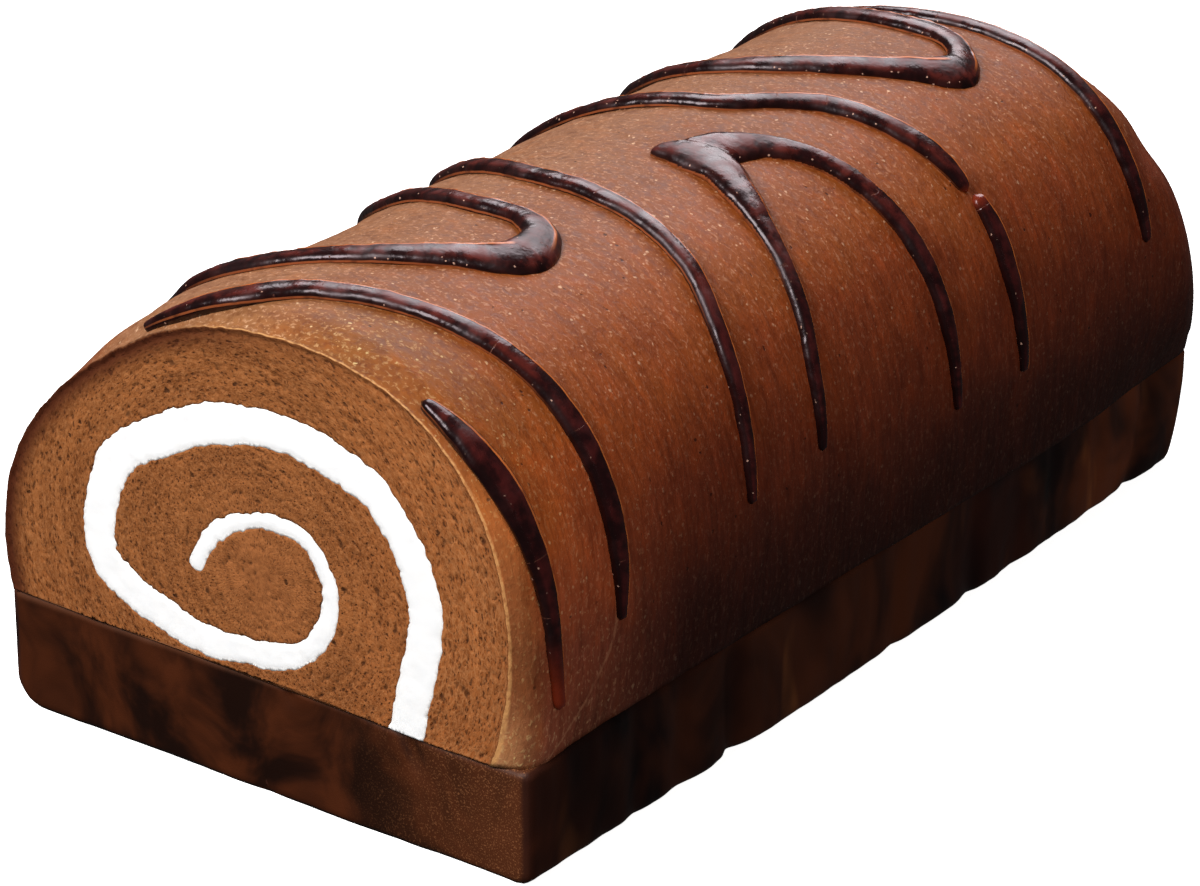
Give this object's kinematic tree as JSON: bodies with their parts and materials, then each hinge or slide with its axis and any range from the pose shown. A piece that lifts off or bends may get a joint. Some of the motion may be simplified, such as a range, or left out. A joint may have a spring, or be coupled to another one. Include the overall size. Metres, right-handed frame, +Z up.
{
  "type": "swiss roll cake",
  "caption": "Chocolate swiss roll cake: sponge rolled round a spiral of white cream, drizzled with dark chocolate, on a thick dark chocolate base.",
  "frame": {"origin": "on the floor, under the middle of the cake's bounding box", "axes": "+X across the roll, +Y along the roll away from the cut front face that shows the spiral, +Z up"},
  "size_m": [0.1029, 0.1953, 0.0803],
  "materials": {
    "sponge": "fine open crumb, baked skin with glossy dark chocolate drizzle",
    "cream": "smooth whipped cream",
    "dark_chocolate": "satin dark chocolate"
  },
  "bodies": {
    "root": {"sponge_roll": "sponge", "cream_filling": "cream", "chocolate_base": "dark_chocolate"}
  },
  "joints": []
}
